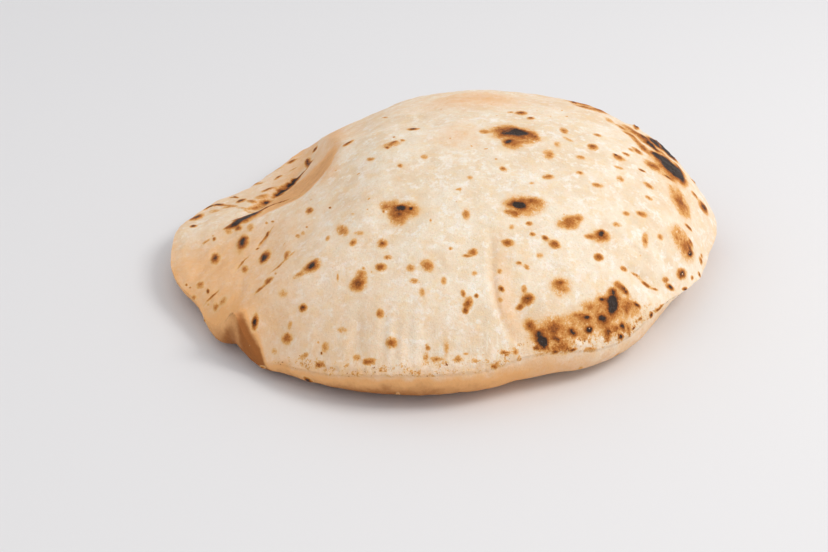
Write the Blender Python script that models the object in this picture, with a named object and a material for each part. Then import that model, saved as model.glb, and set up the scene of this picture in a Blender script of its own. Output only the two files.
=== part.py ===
"""A puffed round naan, baked on the wall of a clay oven, as one closed solid.

The upper skin is blown up into a broad dome. On the left it has fallen in: a flap lies
low in front of a sharp crest, and a flank slopes down behind it. At the front left the
rim folds into a dog-ear, and at the front right it is gathered into a pinch. The lower
skin turns under the rim to a flat resting spot.

Lengths are in millimetres until naan_mesh() writes the mesh in metres. +X is the bread's
right, +Y its back and +Z up. Angles are in degrees, counterclockwise from +X, seen from
above, round the middle of the plan. In the finished mesh the origin is the middle of the
bread's footprint, at the height it rests on.
"""

import bpy
import bmesh
import numpy as np

METRES_PER_MM = 0.001

# The naan as a whole.
APEX = (20.0, 0.0, 57.0)
DOME_FLATNESS = 2.1
RESTING_SHARE = 0.66

# The rim, where the two skins meet: (angle, distance from the middle, height).
RIM = (
    (0, 109.0, 15.0), (12, 110.5, 15.0), (30, 110.5, 16.0), (60, 110.0, 17.0),
    (90, 109.0, 16.0), (108, 110.0, 14.0), (120, 109.0, 12.0), (127, 108.0, 10.5),
    (134, 104.0, 9.0), (142, 102.0, 8.0), (152, 102.0, 8.0), (158, 106.0, 8.5),
    (166, 109.0, 9.0), (178, 111.5, 11.0), (188, 112.0, 10.0), (198, 111.0, 9.5),
    (206, 108.5, 9.5), (215, 109.5, 8.5), (219, 109.0, 11.0), (222, 108.0, 18.5),
    (226, 109.0, 13.0), (231, 110.0, 7.0), (237, 110.5, 9.0), (246, 111.0, 11.0),
    (256, 111.0, 14.3), (268, 108.5, 15.3), (276, 106.5, 15.5), (284, 104.0, 17.5),
    (290, 103.5, 17.0), (299, 104.0, 14.0), (308, 103.0, 14.0), (315, 102.0, 17.0),
    (323, 101.0, 16.0), (331, 101.5, 14.0), (340, 103.0, 11.5), (350, 104.5, 13.0),
)

# How fast the unevenness of the rim fades into the upper skin, towards one level.
RIM_LEVEL = 13.0
RIM_FADING = 9.0
EDGE_TIGHTNESS = 16.0

# How bluntly the dome meets the rim: (angle, power); lower is blunter.
SHOULDER = (
    (0, 0.58), (30, 0.57), (60, 0.51), (90, 0.58), (105, 0.72), (120, 0.98), (150, 1.10),
    (180, 0.95), (210, 0.85), (230, 0.80), (255, 0.70), (280, 0.62), (300, 0.58), (330, 0.55),
)

# The lower skin under the rim: (angle, roundness, swelling); 1 is a straight slope and
# higher is fuller.
BELLY = (
    (0, 1.5, 0.0), (45, 2.4, 0.0), (150, 2.4, 0.0), (190, 2.6, 0.0), (212, 2.8, 1.0),
    (219, 3.2, 6.0), (226, 3.2, 4.5), (235, 3.2, 2.0), (262, 3.4, 1.0), (290, 3.2, 0.0),
    (308, 3.2, 0.0), (318, 2.6, 0.0), (327, 1.4, 0.0), (345, 1.2, 0.0),
)

# The fallen-in left side, as slopes that cut the dome or lie over each other:
# (x, y, height there, rise per millimetre of x, rise per millimetre of y).
STRIP = (-60.0, -40.0, 30.5, 0.60, 0.05)
FLAP = (-91.0, -5.0, 17.5, 0.30, 0.08)
FLANK = (-60.0, 2.0, 29.5, 0.58, -0.28)
FLANK_RISE = (-54.0, 40.0, 28.0, 1.25, -0.10)
HOLLOW = (-80.0, 8.0, 19.5, 0.28, -0.19)

# How softly these slopes meet, in millimetres of height.
EDGE_ROUNDING = 3.0
VALLEY_ROUNDING = 4.0
FLANK_ROUNDING = 8.0
CREST_ROUNDING = 1.0

# Folds in the upper skin: (x, y, depth) along each, then its width left and right of it.
GROOVE = ((14, -58, 0.0), (14, -72, 1.6), (14, -84, 2.4), (16, -92, 2.2), (21, -97, 1.2), (28, -100, 0.0))
GROOVE_WIDTHS = (9.0, 3.5)
PINCH = ((58, -68, 0.0), (68, -66, 1.6), (75, -62, 2.0), (82, -56, 2.0), (89, -51, 0.0))
PINCH_WIDTHS = (4.0, 4.0)
LOW_PINCH = ((62, -73, 0.0), (73, -67, 1.2), (82, -60, 1.6), (87, -57, 0.6))
LOW_PINCH_WIDTHS = (4.0, 4.0)
VALLEY = (
    (-54, 74, 0.0), (-59, 61, 2.0), (-64, 52, 2.6), (-67, 42, 3.0), (-71, 34, 3.0),
    (-76, 22, 2.6), (-82, 11, 1.4), (-90, 2, 0.0),
)
VALLEY_WIDTHS = (12.0, 4.0)

# Broad swellings of the upper skin: (x, y, reach along x, reach along y, height).
SWELLINGS = (
    (30, 45, 15, 24, -1.2), (63, 44, 14, 22, 1.4), (86, 27, 12, 16, 1.3), (99, 10, 6, 12, -0.9),
    (-38, 40, 9, 30, -1.2), (-22, 48, 10, 24, 1.0), (38, -84, 13, 9, 0.8), (-8, -70, 18, 16, 0.4),
)

# The mesh; the sectors stand closer together at the front.
SECTORS = 96
FRONT_CROWDING = 0.30
TOP_RINGS = 36
BELLY_RINGS = 10

NAAN_COLOUR = (0.80, 0.66, 0.50, 1.0)
NAAN_ROUGHNESS = 0.75


def smooth(low, high, value):
    """Rise from 0 at low to 1 at high along an S curve."""
    share = np.clip((value - low) / (high - low), 0.0, 1.0)
    return share * share * (3.0 - 2.0 * share)


def around(angle, stations, column=1):
    """Read a column of a smooth closed curve through stations, at these radians."""
    table = np.array(stations, float)
    knots, values = table[:, 0], table[:, column]
    knots = np.concatenate((knots[-2:] - 360.0, knots, knots[:2] + 360.0))
    values = np.concatenate((values[-2:], values, values[:2]))
    slopes = np.gradient(values, knots)
    degrees = np.degrees(angle) % 360.0
    left = np.searchsorted(knots, degrees, side="right") - 1
    span = knots[left + 1] - knots[left]
    t = (degrees - knots[left]) / span
    start = (1 + 2 * t) * (1 - t) ** 2 * values[left] + t * (1 - t) ** 2 * span * slopes[left]
    end = t * t * (3 - 2 * t) * values[left + 1] - t * t * (1 - t) * span * slopes[left + 1]
    return start + end


def curve_through(points, steps=8):
    """Refine a row of points into a smooth curve, with all their columns."""
    points = np.array(points, float)
    before = np.vstack((2 * points[0] - points[1], points[:-1]))
    after = np.vstack((points[1:], 2 * points[-1] - points[-2]))
    slopes = 0.5 * (after - before)
    rows = []
    for start, end, out, into in zip(points, points[1:], slopes, slopes[1:]):
        for t in np.arange(steps) / steps:
            bend = (1 - t) ** 2 * ((1 + 2 * t) * start + t * out)
            rows.append(bend + t * t * ((3 - 2 * t) * end - (1 - t) * into))
    return np.array(rows + [points[-1]])


def from_route(x, y, route):
    """Distance from a smooth route, positive on its left, and the route's values there."""
    curve = curve_through(route)
    best = np.full(x.shape, np.inf)
    side = np.zeros(x.shape)
    values = np.zeros(x.shape + (curve.shape[1] - 2,))
    for start, end in zip(curve, curve[1:]):
        run = end[:2] - start[:2]
        t = ((x - start[0]) * run[0] + (y - start[1]) * run[1]) / (run @ run)
        t = np.clip(t, 0.0, 1.0)
        dx = x - start[0] - t * run[0]
        dy = y - start[1] - t * run[1]
        distance = np.hypot(dx, dy)
        nearer = distance < best
        best = np.where(nearer, distance, best)
        side = np.where(nearer, np.sign(run[0] * dy - run[1] * dx), side)
        here = start[2:] + t[..., None] * (end[2:] - start[2:])
        values = np.where(nearer[..., None], here, values)
    return best * side, values


def soft_min(first, second, rounding):
    """The lower of two heights, with the crease between them rounded."""
    share = np.clip(0.5 + 0.5 * (second - first) / rounding, 0.0, 1.0)
    return second + (first - second) * share - rounding * share * (1.0 - share)


def soft_max(first, second, rounding):
    return -soft_min(-first, -second, rounding)


def slope(x, y, plane):
    start_x, start_y, height, rise_x, rise_y = plane
    return height + rise_x * (x - start_x) + rise_y * (y - start_y)


def rim_beyond(x, y):
    """Share of the way from the apex to the rim, and the angle of the rim out there."""
    out_x = x - APEX[0]
    out_y = y - APEX[1]
    out = np.hypot(out_x, out_y) + 1e-9
    along = -(APEX[0] * out_x + APEX[1] * out_y) / out
    angle = np.arctan2(y, x)
    for _ in range(4):
        radius = around(angle, RIM, 1)
        reach = along + np.sqrt(along ** 2 + radius ** 2 - APEX[0] ** 2 - APEX[1] ** 2)
        angle = np.arctan2(APEX[1] + out_y / out * reach, APEX[0] + out_x / out * reach)
    return np.clip(out / reach, 0.0, 1.0), angle


def fold(x, y, route, widths):
    """Depth of a fold that follows a route, wider on one side of it than the other."""
    away, values = from_route(x, y, route)
    left = 1.0 - smooth(0.0, widths[0], away)
    right = 1.0 - smooth(0.0, widths[1], -away)
    return values[..., 0] * left * right


def swelling(x, y):
    """How far the broad swellings raise the upper skin."""
    raised = np.zeros(x.shape)
    for middle_x, middle_y, reach_x, reach_y, height in SWELLINGS:
        away = ((x - middle_x) / reach_x) ** 2 + ((y - middle_y) / reach_y) ** 2
        raised += height * np.exp(-away)
    return raised


def top_height(x, y):
    """Height of the upper skin over the plan."""
    share, angle = rim_beyond(x, y)
    rim = RIM_LEVEL + (around(angle, RIM, 2) - RIM_LEVEL) * share ** RIM_FADING
    cushion = (1.0 - share ** DOME_FLATNESS) ** around(angle, SHOULDER)
    dome = rim + (APEX[2] - rim) * cushion
    front = soft_max(slope(x, y, STRIP), slope(x, y, FLAP), VALLEY_ROUNDING)
    front = soft_min(dome, front, EDGE_ROUNDING)
    back = soft_max(slope(x, y, FLANK), slope(x, y, FLANK_RISE), FLANK_ROUNDING)
    back = soft_max(back, slope(x, y, HOLLOW), VALLEY_ROUNDING)
    height = soft_min(front, back, CREST_ROUNDING)
    height -= fold(x, y, GROOVE, GROOVE_WIDTHS)
    height -= fold(x, y, PINCH, PINCH_WIDTHS)
    height -= fold(x, y, LOW_PINCH, LOW_PINCH_WIDTHS)
    height -= fold(x, y, VALLEY, VALLEY_WIDTHS)
    height += swelling(x, y)
    return rim + (height - rim) * (1.0 - share ** EDGE_TIGHTNESS) ** 0.5


def sector_angles():
    """The angles of the sectors, closer together at the front."""
    even = np.arange(SECTORS) * 2.0 * np.pi / SECTORS
    return even - FRONT_CROWDING * np.cos(even)


def top_ring(share):
    """One ring of the upper skin, at a share of the way from the middle to the rim."""
    angle = sector_angles()
    radius = share * around(angle, RIM, 1)
    x = radius * np.cos(angle)
    y = radius * np.sin(angle)
    return np.column_stack((x, y, top_height(x, y)))


def belly_ring(turn):
    """One ring of the lower skin, turning from 0 at the rim to 1 at the resting spot."""
    angle = sector_angles()
    fullness = 2.0 / around(angle, BELLY, 1)
    inward = 1.0 - np.cos(turn * np.pi / 2.0) ** fullness
    height = 1.0 - np.sin(turn * np.pi / 2.0) ** fullness
    radius = around(angle, RIM, 1) * (1.0 - (1.0 - RESTING_SHARE) * inward)
    radius += around(angle, BELLY, 2) * (1.0 - height) * (1.0 - inward)
    rim = around(angle, RIM, 2)
    return np.column_stack((radius * np.cos(angle), radius * np.sin(angle), rim * height))


def naan_rings():
    """All rings from near the crown down to the resting spot, with the crown itself."""
    shares = np.sin(np.arange(1, TOP_RINGS + 1) / TOP_RINGS * np.pi / 2.0)
    turns = np.arange(1, BELLY_RINGS + 1) / BELLY_RINGS
    rings = [top_ring(share) for share in shares] + [belly_ring(turn) for turn in turns]
    crown = top_ring(0.0)[0]
    points = np.concatenate(rings)
    middle = 0.5 * (points.min(axis=0) + points.max(axis=0))
    middle[2] = 0.0
    return crown - middle, [ring - middle for ring in rings]


def naan_mesh(name):
    """The closed skin of the naan, finished underneath with the flat resting spot."""
    crown, rings = naan_rings()
    shell = bmesh.new()
    top = shell.verts.new(crown * METRES_PER_MM)
    loops = [[shell.verts.new(point * METRES_PER_MM) for point in ring] for ring in rings]
    for here in range(SECTORS):
        after = (here + 1) % SECTORS
        shell.faces.new((top, loops[0][here], loops[0][after]))
        for upper, lower in zip(loops, loops[1:]):
            shell.faces.new((upper[here], lower[here], lower[after], upper[after]))
    shell.faces.new(reversed(loops[-1]))
    mesh = bpy.data.meshes.new(name)
    shell.to_mesh(mesh)
    shell.free()
    mesh.shade_smooth()
    return mesh


def naan_material():
    material = bpy.data.materials.new("naan_skin")
    material.use_nodes = True
    shader = material.node_tree.nodes["Principled BSDF"]
    shader.inputs["Base Color"].default_value = NAAN_COLOUR
    shader.inputs["Roughness"].default_value = NAAN_ROUGHNESS
    shader.inputs["Metallic"].default_value = 0.0
    return material


def clear_scene():
    for item in list(bpy.data.objects):
        bpy.data.objects.remove(item)


clear_scene()
naan = bpy.data.objects.new("naan", naan_mesh("naan"))
naan.data.materials.append(naan_material())
bpy.context.scene.collection.objects.link(naan)
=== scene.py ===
"""Looks of the puffed naan: a fine skin with its blisters, folds and scorch marks.

Lengths of the bread are in millimetres until bread_mesh() writes its mesh in metres. +X is
the bread's right, +Y its back and +Z up. Angles are in degrees, counterclockwise from +X,
seen from above, round the middle of the plan. The shape and the tan of the skin, with the
shade painted into it, are worked out in the plan's own frame. What is placed on the skin one
by one, such as marks and cracks, is in the finished frame, which differs from it by MIDDLE.
"""

import math
from collections import namedtuple

import bpy
import numpy as np
from mathutils import Euler, Matrix, Vector, noise


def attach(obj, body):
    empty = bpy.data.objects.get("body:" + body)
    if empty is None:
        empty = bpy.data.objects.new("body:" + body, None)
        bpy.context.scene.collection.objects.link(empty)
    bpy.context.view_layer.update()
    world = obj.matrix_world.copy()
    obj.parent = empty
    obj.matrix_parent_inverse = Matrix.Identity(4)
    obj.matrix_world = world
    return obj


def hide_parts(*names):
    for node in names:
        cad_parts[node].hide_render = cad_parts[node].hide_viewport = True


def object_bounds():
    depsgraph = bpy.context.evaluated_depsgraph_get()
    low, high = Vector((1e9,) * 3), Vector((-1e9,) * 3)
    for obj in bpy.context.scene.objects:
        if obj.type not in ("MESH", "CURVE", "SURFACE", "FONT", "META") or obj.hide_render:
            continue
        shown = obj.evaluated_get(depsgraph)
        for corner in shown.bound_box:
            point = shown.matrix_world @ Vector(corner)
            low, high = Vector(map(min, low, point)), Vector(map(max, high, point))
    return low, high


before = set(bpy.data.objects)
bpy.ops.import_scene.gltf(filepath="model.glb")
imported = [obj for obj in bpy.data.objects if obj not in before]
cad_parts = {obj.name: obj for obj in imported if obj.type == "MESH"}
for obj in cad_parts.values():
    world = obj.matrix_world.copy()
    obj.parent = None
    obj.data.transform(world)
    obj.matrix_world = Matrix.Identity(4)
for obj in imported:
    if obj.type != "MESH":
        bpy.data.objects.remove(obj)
cad_low, cad_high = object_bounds()

METRES_PER_MM = 0.001

# ---- the shape of the CAD part

APEX = (20, 0, 57)
DOME_FLATNESS = 2.1
RESTING_SHARE = 0.66

# The rim, where the two skins meet: (angle, distance from the middle, height).
RIM = (
    (0, 109, 15), (12, 110.5, 15), (30, 110.5, 16), (60, 110, 17), (90, 109, 16), (108, 110, 14),
    (120, 109, 12), (127, 108, 10.5), (134, 104, 9), (142, 102, 8), (152, 102, 8), (158, 106, 8.5),
    (166, 109, 9), (178, 111.5, 11), (188, 112, 10), (198, 111, 9.5), (206, 108.5, 9.5), (215, 109.5, 8.5),
    (219, 109, 11), (222, 108, 18.5), (226, 109, 13), (231, 110, 7), (237, 110.5, 9), (246, 111, 11),
    (256, 111, 14.3), (268, 108.5, 15.3), (276, 106.5, 15.5), (284, 104, 17.5), (290, 103.5, 17),
    (299, 104, 14), (308, 103, 14), (315, 102, 17), (323, 101, 16), (331, 101.5, 14), (340, 103, 11.5),
    (350, 104.5, 13),
)

# How fast the unevenness of the rim fades into the upper skin, towards one level.
RIM_LEVEL = 13
RIM_FADING = 9
EDGE_TIGHTNESS = 16

# How bluntly the dome meets the rim: (angle, power); lower is blunter.
SHOULDER = (
    (0, 0.58), (30, 0.57), (60, 0.51), (90, 0.58), (105, 0.72), (120, 0.98), (150, 1.1), (180, 0.95),
    (210, 0.85), (230, 0.8), (255, 0.7), (280, 0.62), (300, 0.58), (330, 0.55),
)

# The lower skin under the rim: (angle, roundness, swelling); 1 is a straight slope and
# higher is fuller.
BELLY = (
    (0, 1.5, 0), (45, 2.4, 0), (150, 2.4, 0), (190, 2.6, 0), (212, 2.8, 1), (219, 3.2, 6), (226, 3.2, 4.5),
    (235, 3.2, 2), (262, 3.4, 1), (290, 3.2, 0), (308, 3.2, 0), (318, 2.6, 0), (327, 1.4, 0),
    (345, 1.2, 0),
)

# The fallen-in left side, as slopes that cut the dome or lie over each other:
# (x, y, height there, rise per millimetre of x, rise per millimetre of y).
STRIP = (-60, -40, 30.5, 0.6, 0.05)
FLAP = (-91, -5, 17.5, 0.3, 0.08)
FLANK = (-60, 2, 29.5, 0.58, -0.28)
FLANK_RISE = (-54, 40, 28, 1.25, -0.1)
HOLLOW = (-80, 8, 19.5, 0.28, -0.19)

# How softly these slopes meet, in millimetres of height.
EDGE_ROUNDING = 3
VALLEY_ROUNDING = 4
FLANK_ROUNDING = 8
CREST_ROUNDING = 1

# Folds in the upper skin: (x, y, depth) along each.
GROOVE = ((14, -58, 0), (14, -72, 1.6), (14, -84, 2.4), (16, -92, 2.2), (21, -97, 1.2), (28, -100, 0))
PINCH = ((58, -68, 0), (68, -66, 1.6), (75, -62, 2), (82, -56, 2), (89, -51, 0))
LOW_PINCH = ((62, -73, 0), (73, -67, 1.2), (82, -60, 1.6), (87, -57, 0.6))
VALLEY = (
    (-54, 74, 0), (-59, 61, 2), (-64, 52, 2.6), (-67, 42, 3), (-71, 34, 3), (-76, 22, 2.6), (-82, 11, 1.4),
    (-90, 2, 0),
)
# The folds, each with its width on its left and on its right.
FOLDS = ((GROOVE, (9, 3.5)), (PINCH, (4, 4)), (LOW_PINCH, (4, 4)), (VALLEY, (12, 4)))

# Broad swellings of the upper skin: (x, y, reach along x, reach along y, height).
SWELLINGS = (
    (30, 45, 15, 24, -1.2), (63, 44, 14, 22, 1.4), (86, 27, 12, 16, 1.3), (99, 10, 6, 12, -0.9),
    (-38, 40, 9, 30, -1.2), (-22, 48, 10, 24, 1), (38, -84, 13, 9, 0.8), (-8, -70, 18, 16, 0.4),
)

# The middle of the footprint, which the finished part has as its origin.
MIDDLE = (-1.15, 0.02, 0)


def smooth(low, high, value):
    """Rise from 0 at low to 1 at high along an S curve."""
    share = np.clip((value - low) / (high - low), 0.0, 1.0)
    return share * share * (3.0 - 2.0 * share)


def around(angle, stations, column=1):
    """Read a column of a smooth closed curve through stations, at these radians."""
    table = np.array(stations, float)
    knots, values = table[:, 0], table[:, column]
    knots = np.concatenate((knots[-2:] - 360.0, knots, knots[:2] + 360.0))
    values = np.concatenate((values[-2:], values, values[:2]))
    slopes = np.gradient(values, knots)
    degrees = np.degrees(angle) % 360.0
    left = np.searchsorted(knots, degrees, side="right") - 1
    span = knots[left + 1] - knots[left]
    t = (degrees - knots[left]) / span
    start = (1 + 2 * t) * (1 - t) ** 2 * values[left] + t * (1 - t) ** 2 * span * slopes[left]
    end = t * t * (3 - 2 * t) * values[left + 1] - t * t * (1 - t) * span * slopes[left + 1]
    return start + end


def curve_through(points, steps=8):
    """Refine a row of points into a smooth curve, with all their columns."""
    points = np.array(points, float)
    before = np.vstack((2 * points[0] - points[1], points[:-1]))
    after = np.vstack((points[1:], 2 * points[-1] - points[-2]))
    slopes = 0.5 * (after - before)
    rows = []
    for start, end, out, into in zip(points, points[1:], slopes, slopes[1:]):
        for t in np.arange(steps) / steps:
            bend = (1 - t) ** 2 * ((1 + 2 * t) * start + t * out)
            rows.append(bend + t * t * ((3 - 2 * t) * end - (1 - t) * into))
    return np.array(rows + [points[-1]])


def from_route(x, y, route):
    """Distance from a smooth route, positive on its left, and the route's values there."""
    curve = curve_through(route)
    best = np.full(x.shape, np.inf)
    side = np.zeros(x.shape)
    values = np.zeros(x.shape + (curve.shape[1] - 2,))
    for start, end in zip(curve, curve[1:]):
        run = end[:2] - start[:2]
        t = ((x - start[0]) * run[0] + (y - start[1]) * run[1]) / (run @ run)
        t = np.clip(t, 0.0, 1.0)
        dx = x - start[0] - t * run[0]
        dy = y - start[1] - t * run[1]
        distance = np.hypot(dx, dy)
        nearer = distance < best
        best = np.where(nearer, distance, best)
        side = np.where(nearer, np.sign(run[0] * dy - run[1] * dx), side)
        here = start[2:] + t[..., None] * (end[2:] - start[2:])
        values = np.where(nearer[..., None], here, values)
    return best * side, values


def soft_min(first, second, rounding):
    """The lower of two heights, with the crease between them rounded."""
    share = np.clip(0.5 + 0.5 * (second - first) / rounding, 0.0, 1.0)
    return second + (first - second) * share - rounding * share * (1.0 - share)


def soft_max(first, second, rounding):
    """The higher of two heights, with the crease between them rounded."""
    return -soft_min(-first, -second, rounding)


def slope(x, y, plane):
    """Height of a tilted plane."""
    start_x, start_y, height, rise_x, rise_y = plane
    return height + rise_x * (x - start_x) + rise_y * (y - start_y)


def rim_beyond(x, y):
    """Share of the way from the apex to the rim, and the angle of the rim out there."""
    out_x = x - APEX[0]
    out_y = y - APEX[1]
    out = np.hypot(out_x, out_y) + 1e-9
    along = -(APEX[0] * out_x + APEX[1] * out_y) / out
    angle = np.arctan2(y, x)
    for _ in range(4):
        radius = around(angle, RIM, 1)
        reach = along + np.sqrt(along ** 2 + radius ** 2 - APEX[0] ** 2 - APEX[1] ** 2)
        angle = np.arctan2(APEX[1] + out_y / out * reach, APEX[0] + out_x / out * reach)
    return np.clip(out / reach, 0.0, 1.0), angle


def fold(x, y, route, widths):
    """Depth of a fold that follows a route, wider on one side of it than the other."""
    away, values = from_route(x, y, route)
    left = 1.0 - smooth(0.0, widths[0], away)
    right = 1.0 - smooth(0.0, widths[1], -away)
    return values[..., 0] * left * right


def bell(value, middle, reach):
    """1 at the middle, and fading smoothly to both sides."""
    return np.exp(-((value - middle) / reach) ** 2)


def mound(x, y, spot):
    """A smooth mound: (x, y, reach along x, reach along y, height)."""
    middle_x, middle_y, reach_x, reach_y, height = spot
    return height * bell(x, middle_x, reach_x) * bell(y, middle_y, reach_y)


def left_slopes(x, y):
    """Heights of the slopes in front of the sharp crest on the left, and behind it."""
    front = soft_max(slope(x, y, STRIP), slope(x, y, FLAP), VALLEY_ROUNDING)
    return front, soft_max(slope(x, y, FLANK), slope(x, y, FLANK_RISE), FLANK_ROUNDING)


def top_height(x, y):
    """Height of the upper skin over the plan."""
    share, angle = rim_beyond(x, y)
    rim = RIM_LEVEL + (around(angle, RIM, 2) - RIM_LEVEL) * share ** RIM_FADING
    cushion = (1.0 - share ** DOME_FLATNESS) ** around(angle, SHOULDER)
    dome = rim + (APEX[2] - rim) * cushion
    front, back = left_slopes(x, y)
    front = soft_min(dome, front, EDGE_ROUNDING)
    back = soft_max(back, slope(x, y, HOLLOW), VALLEY_ROUNDING)
    height = soft_min(front, back, CREST_ROUNDING)
    for route, widths in FOLDS:
        height -= fold(x, y, route, widths)
    height += sum(mound(x, y, spot) for spot in SWELLINGS)
    return rim + (height - rim) * (1.0 - share ** EDGE_TIGHTNESS) ** 0.5


# ---- the fine skin

SECTORS = 576
FRONT_CROWDING = 0.25
TOP_RINGS = 122
BELLY_RINGS = 30
UNDER_RINGS = 14
# Rings inside this share of the way out have half the sectors, and so on inwards.
HALVING_SHARES = (0.34, 0.17, 0.085, 0.0425)

# Where the two skins are in the bake layout.
TOP_DISC = (0.375, 0.625)
TOP_DISC_RADIUS = 0.365
UNDER_DISC = (0.8, 0.2)
UNDER_DISC_RADIUS = 0.19

# Small swellings and hollows of the upper skin: (x, y, reach along x, reach along y, lift).
DENTS = (
    (12, -97, 5, 8, 0.5), (24, -93, 5, 9, -0.9), (-30, -62, 16, 12, -0.4), (-33, -94, 2.2, 8, -0.5),
    (14, 58, 10, 3.5, 0.9), (-2, 52, 8, 4, -0.5), (34, 60, 9, 3, -0.6), (81, 41, 3, 4, 1),
    (-92, -14, 5, 9, 0.6), (-97, -28, 4, 8, -0.6), (-84, -36, 5, 8, 0.5), (-62, -30, 5, 12, 0.5),
)

# Stretch cracks: (x, y, depth) along each.
CRACKS = (
    ((-69, -19, 0), (-70, -24, 0.5), (-72, -28, 0.6), (-74.5, -32, 0)),
    ((-76, -33, 0), (-78, -36, 0.5), (-80, -40, 0.5), (-81.5, -43, 0)),
    ((-85.5, -47, 0), (-88, -50, 0.6), (-91, -53.5, 0)),
    ((-64, -58, 0), (-67, -61, 0.5), (-71, -64, 0.4), (-75, -66, 0)),
    ((-94, -9, 0), (-96.5, -11, 0.3), (-99, -12, 0)),
)
CRACK_WIDTHS = (1.6, 1.6)

# Creases that run into the pinch at the front right.
CREASES = (
    ((61, -67, 0), (65.5, -65.5, 0.5), (72, -64.5, 0.7), (76.5, -62.3, 0.3), (80, -59, 0)),
    ((52, -52, 0), (62, -55, 0.4), (72, -57.5, 0.6), (80, -57, 0)),
    ((58, -42, 0), (68, -46, 0.4), (78, -49.5, 0.6), (85, -50.5, 0)),
    ((66, -33, 0), (74, -39, 0.4), (83, -44, 0.5), (88, -46.5, 0)),
)
CREASE_WIDTHS = (2.4, 3.4)

# Char where the skin is folded: (x, y, heat in percent, half its width) along each line.
CHAR_LINES = (
    ((-60, 64, 50, 0.8), (-59.4, 60.6, 85, 1), (-57.9, 55, 100, 1.1), (-58.8, 51.5, 70, 0.8),
     (-61.8, 49.8, 100, 1.1), (-64.3, 47.5, 115, 1.6), (-66.2, 40.5, 120, 1.9), (-68, 36.5, 120, 2.1),
     (-70.4, 31.4, 115, 2.2), (-71.8, 29.6, 50, 1.2)),
    ((-55.5, -3, 25, 0.5), (-61, 1, 50, 0.6), (-66.2, 3.6, 70, 0.8), (-70, 5, 80, 0.9),
     (-73.8, 3.8, 110, 1.6), (-76.4, 2.4, 130, 2.9), (-79, 0.6, 145, 4), (-81.6, -1.2, 145, 4.2),
     (-83.8, -3.4, 130, 3.2), (-86.4, -4.8, 100, 1.8), (-89, -5.2, 35, 0.8)),
    ((-102.5, 30, 40, 0.7), (-99.5, 33.5, 115, 1.2), (-96.5, 32, 110, 1.3), (-93.5, 29.5, 90, 1),
     (-88, 22, 50, 0.7), (-82.9, 15, 45, 0.8), (-79, 10, 30, 0.7)),
)

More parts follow.
